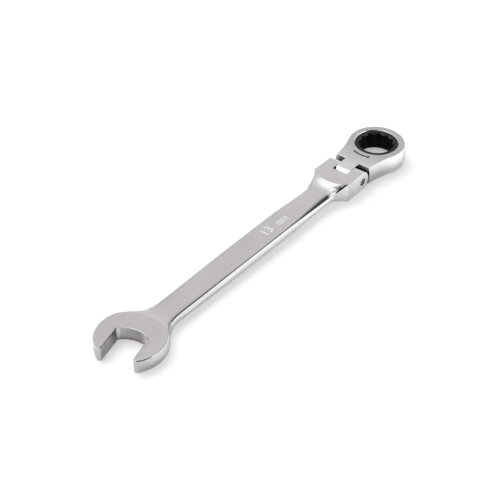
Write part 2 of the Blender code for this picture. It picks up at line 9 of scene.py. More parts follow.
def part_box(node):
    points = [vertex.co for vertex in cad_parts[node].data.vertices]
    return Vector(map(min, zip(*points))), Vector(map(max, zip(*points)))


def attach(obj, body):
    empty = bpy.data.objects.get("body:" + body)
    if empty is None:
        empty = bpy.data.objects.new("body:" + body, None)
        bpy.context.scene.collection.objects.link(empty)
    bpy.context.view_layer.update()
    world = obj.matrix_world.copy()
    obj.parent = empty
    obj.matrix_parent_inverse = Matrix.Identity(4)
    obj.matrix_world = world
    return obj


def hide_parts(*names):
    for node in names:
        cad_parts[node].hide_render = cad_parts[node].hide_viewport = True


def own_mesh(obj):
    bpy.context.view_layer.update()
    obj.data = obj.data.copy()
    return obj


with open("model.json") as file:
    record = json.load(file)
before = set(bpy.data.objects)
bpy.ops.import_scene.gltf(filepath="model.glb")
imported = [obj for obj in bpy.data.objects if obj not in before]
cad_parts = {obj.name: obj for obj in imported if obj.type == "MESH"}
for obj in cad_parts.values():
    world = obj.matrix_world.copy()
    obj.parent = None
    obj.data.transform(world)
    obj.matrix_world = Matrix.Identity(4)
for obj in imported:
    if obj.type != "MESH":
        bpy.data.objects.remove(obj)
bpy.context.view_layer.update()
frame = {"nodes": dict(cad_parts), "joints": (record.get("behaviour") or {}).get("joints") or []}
scene = bpy.context.scene
scene.view_settings.view_transform = "Standard"
places = {joint["name"]: joint.get("pos_m") for joint in frame["joints"]}
hingeAt = Vector(places["head_flex"])
socketAt = Vector(places["gear_spin"])
half = hingeAt.z  # half the tool's thickness
past = 0.002  # how far a cutter runs on past a face
lap = 0.001  # how far a bore or an outline runs into what it joins
nearly = 0.0001  # slack for places on a face
flatNormal = 0.955  # faces more level than this count as flat
wallNormal = 0.5  # faces less level than this count as walls
lineSharp = 40  # edges sharper than this stay sharp on marks and wire
welded = 1e-7  # points nearer than this become one
print("frame loaded with", len(frame["nodes"]), "CAD nodes")


# camera, from the view fitted to the open end, the fork and the ring
cameraView = {
    "at": (-0.3005, -0.2419, 0.3184),
    "forward": (0.5916, 0.4913, -0.6393),
    "right": (0.6353, -0.7723, -0.0056),
    "lens": 89.28,
    "sensor": 36,
    "clip": (0.01, 20),
}


def makeCamera(view):
    forward = Vector(view["forward"]).normalized()
    right = Vector(view["right"])
    right = (right - forward * right.dot(forward)).normalized()
    up = right.cross(forward)
    lens = bpy.data.cameras.new("photoCamera")
    lens.lens = view["lens"]
    lens.sensor_width = view["sensor"]
    lens.sensor_fit = "AUTO"
    lens.clip_start, lens.clip_end = view["clip"]
    camera = bpy.data.objects.new("photoCamera", lens)
    scene.collection.objects.link(camera)
    turn = Matrix((right, up, -forward)).transposed()
    camera.matrix_world = Matrix.Translation(view["at"]) @ turn.to_4x4()
    scene.camera = camera


makeCamera(cameraView)
print("camera set")


# finishes
def feed(tree, node, inputs):
    # sets inputs to values, or links them to the outputs of other nodes
    for socket, value in inputs.items():
        if isinstance(value, bpy.types.NodeSocket):
            tree.links.new(value, node.inputs[socket])
        else:
            node.inputs[socket].default_value = value


def addNode(tree, kind, inputs, operation=None):
    node = tree.nodes.new(kind)
    if operation:
        node.operation = operation
    feed(tree, node, inputs)
    return node


def newFinish(name):
    finish = bpy.data.materials.new(name)
    finish.use_nodes = True
    tree = finish.node_tree
    spot = addNode(tree, "ShaderNodeTexCoord", {})
    return finish, tree, tree.nodes["Principled BSDF"], spot.outputs["Object"]


def noiseOn(tree, source, stretch, detail, roughness=0.55):
    place = addNode(tree, "ShaderNodeMapping", {"Vector": source, "Scale": stretch})
    inputs = {"Vector": place.outputs["Vector"], "Scale": 1, "Detail": detail, "Roughness": roughness}
    return addNode(tree, "ShaderNodeTexNoise", inputs).outputs["Fac"]


noiseSpan = (0.3, 0.7)  # where most of a noise lies


def spread(tree, source, low, high, start=noiseSpan[0], stop=noiseSpan[1]):
    inputs = {"Value": source, "From Min": start, "From Max": stop, "To Min": low, "To Max": high}
    return addNode(tree, "ShaderNodeMapRange", inputs).outputs["Result"]


def smoothMask(tree, source, start, stop):
    mask = addNode(tree, "ShaderNodeMapRange", {"Value": source, "From Min": start, "From Max": stop})
    mask.interpolation_type = "SMOOTHSTEP"
    return mask.outputs["Result"]


def rampOf(tree, source, stops):
    # a colour ramp, by stops of position and colour
    ramp = addNode(tree, "ShaderNodeValToRGB", {"Fac": source})
    marks = ramp.color_ramp.elements
    while len(marks) < len(stops):
        marks.new(0.5)
    for mark, (position, colour) in zip(marks, stops):
        mark.position = position
        mark.color = colour
    return ramp


def relief(tree, source, shader, strength, distance):
    bump = addNode(tree, "ShaderNodeBump", {"Strength": strength, "Distance": distance, "Height": source})
    feed(tree, shader, {"Normal": bump.outputs["Normal"]})


def scaled(tree, colour, factor):
    return addNode(tree, "ShaderNodeVectorMath", {0: colour, "Scale": factor}, "SCALE").outputs["Vector"]


def flecked(tree, colour, grainy, fleck):
    # the grain also shows as small lighter and darker flecks
    return scaled(tree, colour, spread(tree, grainy, 1 - fleck, 1 + fleck))


def metalFinish(
    name, dark, light, rough, grain, depth, strength=0.25, cloud=(60, 60, 60), metallic=1, shine=0.5, fleck=0
):
    finish, tree, shader, spot = newFinish(name)
    grainy = noiseOn(tree, spot, grain, 4, 0.6)
    cloudy = noiseOn(tree, spot, cloud, 2)
    shades = [(place, (*shade, 1)) for place, shade in zip(noiseSpan, (dark, light))]
    colour = rampOf(tree, cloudy, shades).outputs["Color"]
    inputs = {
        "Metallic": metallic,
        "Specular IOR Level": shine,
        "Base Color": flecked(tree, colour, grainy, fleck),
        "Roughness": spread(tree, grainy, *rough),
    }
    feed(tree, shader, inputs)
    relief(tree, grainy, shader, strength, depth)
    return finish


def gradedFinish(name, stops, grain, depth, fleck=0.03, axis="X", foot=None):
    # colour and roughness change along an axis, by stops of place, colour and roughness
    # foot, as low, high and level, darkens the finish low down as a painted shadow
    finish, tree, shader, spot = newFinish(name)
    parts = addNode(tree, "ShaderNodeSeparateXYZ", {"Vector": spot})
    start, stop = stops[0][0], stops[-1][0]
    along = spread(tree, parts.outputs[axis], 0, 1, start, stop)
    marks = [((place - start) / (stop - start), (*colour, rough)) for place, colour, rough in stops]
    ramp = rampOf(tree, along, marks)
    grainy = noiseOn(tree, spot, grain, 4, 0.6)
    colour = flecked(tree, ramp.outputs["Color"], grainy, fleck)
    if foot:
        low, high, level = foot
        colour = scaled(tree, colour, spread(tree, parts.outputs["Z"], level, 1, low, high))
    feed(tree, shader, {"Metallic": 1, "Base Color": colour, "Roughness": ramp.outputs["Alpha"]})
    relief(tree, grainy, shader, 0.25, depth)
    return finish


chrome = {
    "satin": ((0.785, 0.757, 0.747), (0.845, 0.816, 0.806)),
    "polished": ((0.92, 0.915, 0.91), (0.97, 0.965, 0.96)),
    # dark chrome, for painted shade on the shoulder face
    "shoulderShade": ((0.30, 0.285, 0.28), (0.50, 0.485, 0.48)),
}
satinChrome = metalFinish("satinChrome", *chrome["satin"], (0.30, 0.38), (1300, 1300, 1300), 0.00002, 0.3, fleck=0.05)
# head top: its own darker satin, made lighter towards the hinge by a painted sheen
headSatinAndSheen = gradedFinish(
    "headSatinAndSheen",
    [(0.056, (0.95, 0.925, 0.91), 0.32), (0.070, (0.675, 0.66, 0.652), 0.35)],
    (1300, 1300, 1300), 0.00002, 0.05,
)
# ring sides: painted reflection, lighter part way along the ring and darker at both ends
headSidePaintedLight = gradedFinish(
    "headSidePaintedLight",
    [
        (0.066, (0.72, 0.715, 0.71), 0.12),
        (0.077, (0.95, 0.945, 0.94), 0.1),
        (0.080, (0.93, 0.925, 0.92), 0.1),
        (0.087, (0.70, 0.695, 0.69), 0.13),
    ],
    (160, 160, 160), 0.00003,
)
# jaw sides: painted reflection and shade, lighter and darker bands along the jaw
jawSidePaintedLight = gradedFinish(
    "jawSidePaintedLight",
    [
        (-0.085, (0.64, 0.625, 0.62), 0.42),
        (-0.080, (0.66, 0.65, 0.645), 0.25),
        (-0.074, (0.72, 0.715, 0.71), 0.12),
        (-0.068, (0.64, 0.635, 0.63), 0.12),
        (-0.0612, (0.80, 0.795, 0.79), 0.12),
    ],
    (900, 900, 900), 0.00002,
)
# beam sides: painted reflection, darker near the jaw and lighter along the middle
beamSidePaintedLight = gradedFinish(
    "beamSidePaintedLight",
    [
        (-0.062, (0.80, 0.795, 0.79), 0.12),
        (-0.041, (0.80, 0.795, 0.79), 0.12),
        (-0.032, (0.93, 0.925, 0.92), 0.11),
        (-0.02, (0.97, 0.965, 0.96), 0.1),
        (-0.004, (0.99, 0.985, 0.98), 0.1),
        (0.030, (0.98, 0.975, 0.97), 0.1),
        (0.038, (0.91, 0.905, 0.90), 0.11),
    ],
    (160, 160, 160), 0.00003,
)
scoopChrome = gradedFinish(
    "scoopChrome",
    [(0.0357, (0.815, 0.787, 0.777), 0.34), (0.0375, (0.91, 0.905, 0.90), 0.11)],
    (600, 600, 600), 0.00002,
)
# fork sides: satin, made lighter towards the hinge by a painted highlight
flareSidePaintedLight = gradedFinish(
    "flareSidePaintedLight",
    [(0.040, (0.80, 0.78, 0.77), 0.34), (0.050, (0.97, 0.95, 0.94), 0.30)],
    (1500, 1500, 1500), 0.00002, 0.05,
)
polishedChrome = metalFinish("polishedChrome", *chrome["polished"], (0.09, 0.14), (160, 160, 160), 0.00003, 0.2)
# painted shade: dark chrome for the shoulder face in the narrow gap behind the ears
shoulderShadeChrome = metalFinish(
    "shoulderShadeChrome", *chrome["shoulderShade"], (0.18, 0.28), (300, 300, 3200), 0.00002,
    strength=0.3, cloud=(120, 120, 900),
)
# jaw inner walls: painted shade, darker towards the throat
mouthWallPaintedShade = gradedFinish(
    "mouthWallPaintedShade",
    [
        (-0.088, (0.56, 0.54, 0.53), 0.17),
        (-0.083, (0.50, 0.48, 0.475), 0.15),
        (-0.080, (0.40, 0.38, 0.375), 0.14),
        (-0.0785, (0.27, 0.255, 0.25), 0.14),
    ],
    (260, 260, 90), 0.00003, 0.28,
)
# throat wall: painted light and shade, dark at one corner with a light strip beside it, darker across the middle,
# lighter at the other end, and a painted shadow darkening its foot
throatWallPaintedLight = gradedFinish(
    "throatWallPaintedLight",
    [
        (-0.0062, (0.3, 0.29, 0.285), 0.2),
        (-0.0053, (0.3, 0.29, 0.285), 0.2),
        (-0.0050, (0.9, 0.88, 0.87), 0.2),
        (-0.0036, (0.78, 0.76, 0.75), 0.2),
        (-0.0012, (0.48, 0.46, 0.455), 0.16),
        (0.0028, (0.58, 0.56, 0.555), 0.16),
        (0.0057, (0.66, 0.64, 0.63), 0.16),
        (0.0061, (0.88, 0.86, 0.85), 0.2),
        (0.0066, (0.9, 0.88, 0.87), 0.2),
    ],
    (320, 320, 60), 0.00003, 0.15, axis="Y", foot=(0.0019, 0.0031, 0.62),
)
# size mark: pale, partly matt chrome so every stroke shows bright, a painted highlight
markPaintedHighlight = metalFinish(
    "markPaintedHighlight", (0.94, 0.935, 0.93), (0.98, 0.975, 0.97), (0.22, 0.3), (900, 900, 900), 0.00001,
    strength=0.2, metallic=0.3,
)
blackOxide = metalFinish(
    "blackOxide", (0.026, 0.026, 0.0265), (0.034, 0.0335, 0.0335), (0.30, 0.42), (1500, 1500, 400), 0.00002,
    strength=0.3, cloud=(200, 200, 200), metallic=0.6, shine=0.25,
)
wornOxide = metalFinish(
    "wornOxide", (0.042, 0.042, 0.0425), (0.075, 0.074, 0.074), (0.26, 0.36), (1500, 1500, 600), 0.00002,
    strength=0.3, cloud=(500, 500, 500), metallic=0.8, shine=0.4,
)
# socket walls: black oxide made darker than the outer faces, painted shade inside the socket
broachedShadeOxide = metalFinish(
    "broachedShadeOxide", (0.006, 0.006, 0.0065), (0.011, 0.011, 0.011), (0.34, 0.46), (2600, 2600, 200), 0.00002,
    strength=0.3, cloud=(300, 300, 300), metallic=0.2, shine=0.08,
)
# painted shade: near-black steel for the slot walls, the countersink round the pin and the pin's rim and dimple sides
recessShadeSteel = metalFinish(
    "recessShadeSteel", (0.05, 0.048, 0.047), (0.085, 0.082, 0.08), (0.38, 0.5), (2000, 2000, 2000), 0.00001
)
pinSteel = metalFinish("pinSteel", (0.40, 0.39, 0.38), (0.50, 0.49, 0.48), (0.26, 0.36), (2400, 400, 2400), 0.00002)
wireSteel = metalFinish("wireSteel", (0.50, 0.49, 0.48), (0.58, 0.57, 0.56), (0.2, 0.3), (1800, 1800, 1800), 0.00001)
ringSteel = metalFinish("ringSteel", (0.16, 0.16, 0.165), (0.22, 0.22, 0.225), (0.3, 0.42), (900, 900, 2400), 0.00001)
pawlSteel = metalFinish("pawlSteel", (0.28, 0.27, 0.27), (0.36, 0.35, 0.35), (0.28, 0.4), (2400, 600, 600), 0.00001)
ballSteel = metalFinish("ballSteel", (0.66, 0.66, 0.67), (0.72, 0.72, 0.73), (0.06, 0.1), (400, 400, 400), 0.000005)
etchedMark = metalFinish(
    "etchedMark", (0.03, 0.028, 0.027), (0.075, 0.07, 0.067), (0.5, 0.65), (3000, 3000, 3000), 0.00001,
    strength=0.2, cloud=(900, 900, 900), metallic=0.2,
)
print("finishes made")


# mesh tools
def arcPoints(centre, radius, start, stop, steps):
    angles = [math.radians(start + (stop - start) * i / steps) for i in range(steps + 1)]
    return [(centre[0] + radius * math.cos(a), centre[1] + radius * math.sin(a)) for a in angles]


def insetOutline(outline, inset):
    # moves every corner of a counter-clockwise outline inwards, square to both its sides
    sharpest = 0.3  # keeps the move of a sharp corner short
    moved = []
    count = len(outline)
    for i, (x, y) in enumerate(outline):
        before, after = Vector(outline[i - 1]), Vector(outline[(i + 1) % count])
        first = (Vector((x, y)) - before).normalized()
        second = (after - Vector((x, y))).normalized()
        normals = Vector((-first.y, first.x)), Vector((-second.y, second.x))
        middle = (normals[0] + normals[1]).normalized()
        reach = inset / max(middle.dot(normals[0]), sharpest)
        moved.append((x + middle.x * reach, y + middle.y * reach))
    return moved


def skin(loops):
    # a closed mesh over loops with the same number of points
    bm = bmesh.new()
    rows = [[bm.verts.new(point) for point in loop] for loop in loops]
    count = len(rows[0])
    for near, far in zip(rows, rows[1:]):
        for i in range(count):
            j = (i + 1) % count
            bm.faces.new((near[i], near[j], far[j], far[i]))
    bm.faces.new(rows[0])
    bm.faces.new(rows[-1])
    bmesh.ops.recalc_face_normals(bm, faces=bm.faces)
    return bm


def edgeSteps(edge, steps):
    # inset and height below the face, from the side wall round to the flat
    turns = [math.pi / 2 * i / steps for i in range(steps + 1)]
    return [(edge * (1 - math.cos(a)), edge * (1 - math.sin(a))) for a in turns]


def slab(outline, low, high, edge=0, steps=4, crown=0):
    # an outline made thick along Z, with both rims rounded and its side crowned
    rim = edgeSteps(edge, steps) if edge else [(0, 0)]
    upper = [(inset, high - drop) for inset, drop in rim]
    lower = [(inset, low + drop) for inset, drop in reversed(rim)]
    middle, reach = (low + high) / 2, (high - low) / 2 - edge
    side, rows = [], 6  # rows of points in half the side
    if crown:
        side = [(-crown * (1 - (i / rows) ** 2), middle + reach * i / rows) for i in range(1 - rows, rows)]
    loops = []
    for inset, z in lower + side + upper:
        ring = insetOutline(outline, inset) if inset else outline
        loops.append([(x, y, z) for x, y in ring])
    return skin(loops)


def spun(profile, steps):
    # (radius, height) pairs turned about Z
    loops = []
    for radius, height in profile:
        loops.append([(x, y, height) for x, y in arcPoints((0, 0), radius, 0, 360 - 360 / steps, steps - 1)])
    return skin(loops)


layAlong = {
    "X": Matrix(((0, 0, 1, 0), (1, 0, 0, 0), (0, 1, 0, 0), (0, 0, 0, 1))),
    "Y": Matrix(((1, 0, 0, 0), (0, 0, -1, 0), (0, 1, 0, 0), (0, 0, 0, 1))),
}


def toObject(name, bm, at, along=None):
    if along:
        bm.transform(layAlong[along])
    bm.transform(Matrix.Translation(at))
    bmesh.ops.recalc_face_normals(bm, faces=bm.faces)
    mesh = bpy.data.meshes.new(name)
    bm.to_mesh(mesh)
    bm.free()
    piece = bpy.data.objects.new(name, mesh)
    scene.collection.objects.link(piece)
    return piece


def addLine(bm, curve, turn):
    # adds the mesh of a curve or text, moved by turn
    line = bpy.data.objects.new("line", curve)
    scene.collection.objects.link(line)
    bpy.context.view_layer.update()
    graph = bpy.context.evaluated_depsgraph_get()
    mesh = bpy.data.meshes.new_from_object(line.evaluated_get(graph))
    mesh.transform(turn)
    bm.from_mesh(mesh)
    bpy.data.objects.remove(line)
    bpy.data.meshes.remove(mesh)


def shape(piece, tool, operation="DIFFERENCE"):
    modifier = piece.modifiers.new(tool.name, "BOOLEAN")
    modifier.object = tool
    modifier.operation = operation
    modifier.solver = "EXACT"
    graph = bpy.context.evaluated_depsgraph_get()
    made = bpy.data.meshes.new_from_object(piece.evaluated_get(graph))
    piece.modifiers.clear()
    old = piece.data
    piece.data = made
    bpy.data.meshes.remove(old)
    bpy.data.objects.remove(tool)


def smoothPiece(piece, sharp=30):
    bm = bmesh.new()
    bm.from_mesh(piece.data)
    bmesh.ops.remove_doubles(bm, verts=bm.verts, dist=welded)
    bmesh.ops.dissolve_degenerate(bm, edges=bm.edges, dist=welded)
    bm.to_mesh(piece.data)
    bm.free()
    piece.data.shade_smooth()
    piece.data.set_sharp_from_angle(angle=math.radians(sharp))
    weight = piece.modifiers.new("evenShading", "WEIGHTED_NORMAL")
    weight.keep_sharp = True


def dress(piece, finishes, choose=None):
    piece.data.materials.clear()
    for finish in finishes:
        piece.data.materials.append(finish)
    for face in piece.data.polygons:
        face.material_index = choose(face.center, face.normal) if choose else 0


def settle(piece, body, slot, *nodes):
    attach(piece, body)
    if nodes:
        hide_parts(*nodes)


# handle: open end, beam and fork in one forging
handleSize = {
    "length": 0.1322,  # jaw centre to hinge
    "jawOpening": 0.0132,
    "jawAngle": 15,
    "jawRadius": 0.0139,
    "jawReach": 0.011,
    "tipRound": 0.0007,
    "jawThick": 0.006,
    "jawSteps": 64,
    "jawSweep": (18, 132),  # where the jaw head's sections start and how far they run, in degrees
    "jawRim": (0.0003, 0.0003, 0.00022, 52),  # round, lead-in round, facet and its tilt
    "jawCrown": 0.00038,
    "tipCrown": 0.00008,
    "crownRise": (-0.009, 0),
    "mouthEdge": 0.00024,
    "mouthEdgeDeep": 0.00013,
    "throatDepth": 0.0033,
    "shoulderDepth": 0.00175,
    "flatEnd": 0.0009,
    "cornerWidth": 0.0008,
    "faceEnd": 0.0118,
    "faceGap": 0.0002,
    "faceArcOffset": 0.007,
    "heldFrom": 0.003,  # from here on the rim's points move onto their sections
    "heldBefore": 0.001,
    "ramp": 0.007,
    "rampSteps": 24,
    "rimPace": 1.5,  # the neck's rim is complete this much before the ramp's end
    "beamAtJaw": 0.0114,
    "beamAtFork": 0.0118,
    "beamThick": 0.0044,
    "beamSteps": 40,
    "neckRim": (0.0013, 0.013, 0, 13),
    "neckRimEnd": 0.5,  # this and the next four are shares of the beam's length
    "bowEnd": 0.7,
    "beamCrownRise": 0.1,
    "beamLeadFrom": 0.68,
    "beamFacetFrom": 0.75,
    "beamEdge": 0.00065,
    "beamEdgeSpread": 1.35,
    "beamLead": 0.005,
    "beamFacet": 0.0004,
    "beamTilt": 30,
    "flareRim": [  # place along the scoop, round, lead-in round, facet and its tilt
        (0, 0.00065, 0.005, 0.0004, 30),
        (0.3, 0.00035, 0.0035, 0.00048, 30),
        (0.42, 0.00018, 0.0029, 0.0005, 29.5),
        (0.55, 0.0001, 0.0024, 0.0005, 28.5),
        (0.8, 0.0001, 0.0018, 0.00045, 27),
        (0.92, 0.00008, 0.0009, 0.0002, 26),
        (1, 0.00006, 0.0001, 0, 26),
    ],
    "beamCrown": 0.0002,
    "neckFillet": 0.016,
    "forkWide": 0.018,
    "forkFaceRadius": 0.0135,
    "forkRim": (0.0001, 0.00006, 0.0003, 50),
    "scoop": 0.006,
    "scoopSteps": 40,
    "scoopBend": 0.7,
    "squareFade": (0.15, 0.6),
    "flare": 0.0115,
    "flareFace": 0.0175,  # hinge to the start of the flare's satin sides
    "earSteps": 24,
    "earSwing": 88.5,
    "slotHalf": 0.0036,
    "slotFloor": 0.00475,  # hinge to the slot's floor
    "slotOpen": 0.009,
    "slotEdge": 0.00012,
    "pinHole": 0.00151,
    "pinHoleSteps": 56,
    "countersink": 0.0002,
    "ballBore": 0.0016,
    "ballBoreEnd": 0.01255,
    "ballBoreSteps": 32,
    "pinZone": 0.00195,  # from here down, where one finish ends and the next starts
    "mouthZone": 0.0125,
    "scoopEdge": 0.0022,
    "rimFinish": (0.00033, 0.00072),
    "tipZone": 0.0107,
    "jawZone": 0.016,
}
jawAt = hingeAt - Vector((handleSize["length"], 0, 0))


def eased(value, start, stop):
    t = min(max((value - start) / (stop - start), 0), 1)
    return t * t * (3 - 2 * t)


def between(value, rows, column):
    # value of one column in rows that start with their place
    for near, far in zip(rows, rows[1:]):
        if value <= far[0]:
            return near[column] + (far[column] - near[column]) * (value - near[0]) / (far[0] - near[0])
    return rows[-1][column]


def lastBefore(top, passes, halvings):
    # the largest value up to top that still passes
    low = 0
    for _ in range(halvings):
        middle = (low + top) / 2
        if passes(middle):
            low = middle
        else:
            top = middle
    return low


def handlePlan(size):
    # half the width of the handle at x from the jaw centre
    radius, fillet = size["jawRadius"], size["neckFillet"]
    jawHalf, forkHalf = size["beamAtJaw"] / 2, size["beamAtFork"] / 2
    reach = radius + fillet
    neckEnd = math.sqrt(reach**2 - (jawHalf + fillet) ** 2)
    neckStart = neckEnd * radius / reach
    forkStart = size["length"] - math.sqrt(size["forkFaceRadius"] ** 2 - (size["forkWide"] / 2) ** 2)
    flareStart = forkStart - size["flare"]
    rise = size["forkWide"] / 2 - forkHalf
    flareRadius = (size["flare"] ** 2 + rise**2) / (2 * rise)

    def halfWidth(x):
        if x <= neckStart:
            return math.sqrt(max(radius**2 - x**2, 0))
        if x <= neckEnd:
            return jawHalf + fillet - math.sqrt(fillet**2 - (neckEnd - x) ** 2)
        if x <= flareStart:
            return jawHalf + (x - neckEnd) / (flareStart - neckEnd) * (forkHalf - jawHalf)
        if x < forkStart:
            return forkHalf + flareRadius - math.sqrt(flareRadius**2 - (x - flareStart) ** 2)
        return size["forkWide"] / 2

    return halfWidth


def bowedX(x, y, bow, centre):
    # x of a section at y, where the section bows on an arc about (.., centre)
    if not bow:
        return x
    radius = abs(bow)
    across = min(abs(y - centre), 0.98 * radius)  # short of the arc's end
    sag = math.sqrt(radius**2 - centre**2) - math.sqrt(radius**2 - across**2)
    return x + math.copysign(sag, bow)


tiny = 2e-6  # step for slopes


def wallSlope(halfWidth, x):
    return (halfWidth(x + tiny) - halfWidth(x - tiny)) / (2 * tiny)


def wallGap(halfWidth, x, y):
    # distance of a place in the plan from the side wall
    return (halfWidth(x) - abs(y)) / math.hypot(wallSlope(halfWidth, x), 1)


def faceArc(size):
    # radius and centre across of the arc that ends the jaws' face
    angle = math.radians(size["jawAngle"])
    centre = -size["faceArcOffset"] * math.sin(angle)
    return math.hypot(size["faceEnd"] + size["faceArcOffset"] * math.cos(angle), centre), centre


def rimProfile(edge, lead, facet, tilt, wide=1, steps=5):
    # inset and drop from the side wall up to the flat: a round, a straight facet and a lead-in round
    lean = math.radians(tilt)
    points = []
    for i in range(steps + 1):
        turn = math.pi / 2 + (lean - math.pi / 2) * i / steps
        points.append((edge * (1 - math.sin(turn)), edge * math.cos(turn)))
    foot = points[-1]
    start = (foot[0] + facet * math.cos(lean), foot[1] + facet * math.sin(lean))
    for i in range(steps + 1):
        turn = lean * (1 - i / steps)
        inset = start[0] + lead * (math.sin(lean) - math.sin(turn))
        points.append((inset, start[1] + lead * (math.cos(turn) - math.cos(lean))))
    rise = points[-1][1]
    return [(wide * inset, rise - height) for inset, height in points]


def blended(first, second, share):
    # a rim between two others
    return [(a + (c - a) * share, b + (d - b) * share) for (a, b), (c, d) in zip(first, second)]


def handleSection(halfWidth, x, high, rim, bow=0, centre=0, swing=0, crown=0, square=1, held=0, acrossSteps=12):
    # one section: rounded side, flat top, rounded side, and the same below
    # the rim runs in square to the wall (square 1) or along the section (0), held keeps its points on the section
    farthest = 0.0145  # no section reaches out further
    rims = {}
    for sign in (1, -1):
        low = lastBefore(farthest, lambda y: y < halfWidth(bowedX(x, sign * y, bow, centre)), 44)
        atX = bowedX(x, sign * low, bow, centre)
        slope = wallSlope(halfWidth, atX)
        size = math.hypot(slope, 1)
        inwards = Vector((slope / size, -sign / size))  # square to the wall
        along = Vector((bowedX(x, sign * (low - tiny), bow, centre) - atX, -sign * tiny)).normalized()
        inwards = along.lerp(inwards, square).normalized()
        rims[sign] = (atX, sign * low, inwards.x, inwards.y)
    level = high - rim[0][1]

    def heldPoint(sign, inset):  # on the section, at this distance from the wall
        def clear(y):
            return wallGap(halfWidth, bowedX(x, sign * y, bow, centre), y) > inset

        low = lastBefore(abs(rims[sign][1]), clear, 40)
        return Vector((bowedX(x, sign * low, bow, centre), sign * low))

    def corner(sign, inset, drop):
        atX, y, inX, inY = rims[sign]
        point = Vector((atX + inX * inset, y + inY * inset))
        if held:
            point = point.lerp(heldPoint(sign, inset), held)
        return (point.x, point.y, high - drop)

    def belly(sign, share):  # side wall between the middle and the rounding
        atX, y, inX, inY = rims[sign]
        move = -crown * (1 - share**2)
        return (atX + inX * move, y + inY * move, level * share)

    shares = (0.15, 0.4, 0.65, 0.85)
    right = [belly(-1, share) for share in shares] + [corner(-1, *step) for step in rim]
    left = [corner(1, *step) for step in reversed(rim)] + [belly(1, share) for share in reversed(shares)]
    (startX, startY, _), (stopX, stopY, _) = right[-1], left[0]
    startShift = startX - bowedX(x, startY, bow, centre)
    stopShift = stopX - bowedX(x, stopY, bow, centre)
    flat = []
    for i in range(1, acrossSteps):
        share = i / acrossSteps
        y = startY + (stopY - startY) * share
        shift = startShift * max(1 - 2 * share, 0) ** 3 + stopShift * max(2 * share - 1, 0) ** 3
        flat.append((bowedX(x, y, bow, centre) + shift, y, high))
    top = right + flat + left
    if swing:  # ears: the section turns about the hinge
        top = [(x + z * math.sin(swing), y, z * math.cos(swing)) for _, y, z in top]
    return top + [(px, y, -z) for px, y, z in reversed(top)]


def handleLoops(size):
    plan = handlePlan(size)
    jawHalf, beamHalf = size["jawThick"] / 2, size["beamThick"] / 2
    faceRadius, centre = faceArc(size)
    drop = jawHalf - beamHalf
    rampRadius = (size["ramp"] ** 2 + drop**2) / (2 * drop)
    rise = half - beamHalf
    scoopRadius = (size["scoop"] ** 2 + rise**2) / (2 * rise)
    scoopEnd = size["length"] - size["forkFaceRadius"]
    scoopStart = scoopEnd - size["scoop"]
    beamStart = size["faceEnd"] + size["ramp"]
    jawRim, neckRim = rimProfile(*size["jawRim"]), rimProfile(*size["neckRim"])
    straight = 0.05  # sections that bow less than this are straight
    loops = []
    sweepFrom, sweepOver = size["jawSweep"]
    for i in range(size["jawSteps"]):  # jaw head
        x = -size["jawRadius"] * math.cos(math.radians(sweepFrom + sweepOver * i / size["jawSteps"]))
        share = eased(x, -size["jawRadius"] / 2, size["faceEnd"])
        bow = -faceRadius / share if share > straight else 0
        crown = size["tipCrown"] + (size["jawCrown"] - size["tipCrown"]) * eased(x, *size["crownRise"])
        if x < size["faceEnd"] - size["faceGap"]:
            held = eased(x, size["heldFrom"], size["faceEnd"] - size["heldBefore"])
            loops.append(handleSection(plan, x, jawHalf, jawRim, bow, centre * share, crown=crown, held=held))
    for i in range(size["rampSteps"]):  # ramp down to the beam
        run = size["ramp"] * i / size["rampSteps"]
        high = beamHalf + rampRadius - math.sqrt(rampRadius**2 - (size["ramp"] - run) ** 2)
        rim = blended(jawRim, neckRim, eased(run, 0, size["ramp"] / size["rimPace"]))
        crown = size["jawCrown"] * (1 - run / size["ramp"])
        loops.append(handleSection(plan, size["faceEnd"] + run, high, rim, -faceRadius, centre, crown=crown, held=1))
    for i in range(size["beamSteps"]):  # beam
        along = i / size["beamSteps"]
        x = beamStart + (scoopStart - beamStart) * along
        edge, leadIn = size["beamEdge"], eased(along, size["beamLeadFrom"], 1)
        rim = rimProfile(
            edge,
            edge + (size["beamLead"] - edge) * leadIn,
            size["beamFacet"] * eased(along, size["beamFacetFrom"], 1),
            size["beamTilt"],
            size["beamEdgeSpread"] + (1 - size["beamEdgeSpread"]) * leadIn,
        )
        rim = blended(neckRim, rim, eased(along, 0, size["neckRimEnd"]))
        bow = -faceRadius / (1 - along) if along < size["bowEnd"] else 0
        crown = size["beamCrown"] * eased(along, 0, size["beamCrownRise"])
        loops.append(handleSection(plan, x, beamHalf, rim, bow, centre * (1 - along), crown=crown, held=1))
    for i in range(size["scoopSteps"]):  # scoop up to the fork's face
        along = i / size["scoopSteps"]
        run = size["scoop"] * along
        x = scoopStart + run
        high = beamHalf + scoopRadius - math.sqrt(scoopRadius**2 - run**2)
        rim = rimProfile(*[between(along, size["flareRim"], k) for k in (1, 2, 3, 4)])
        bent = eased(along, 0, size["scoopBend"])
        bow = (size["length"] - x) / bent if bent > straight else 0
        crown, square = size["beamCrown"] * (1 - bent), 1 - eased(along, *size["squareFade"])
        loops.append(handleSection(plan, x, high, rim, bow, crown=crown, square=square))
    rim = rimProfile(*size["flareRim"][-1][1:])
    loops.append(handleSection(plan, scoopEnd, half, rim, size["forkFaceRadius"], square=0))
    for i in range(size["earSteps"]):  # ears, round about the hinge
        swing = math.radians(size["earSwing"] * i / (size["earSteps"] - 1))
        loops.append(handleSection(plan, size["length"], half, rimProfile(*size["forkRim"]), swing=swing))
    return loops


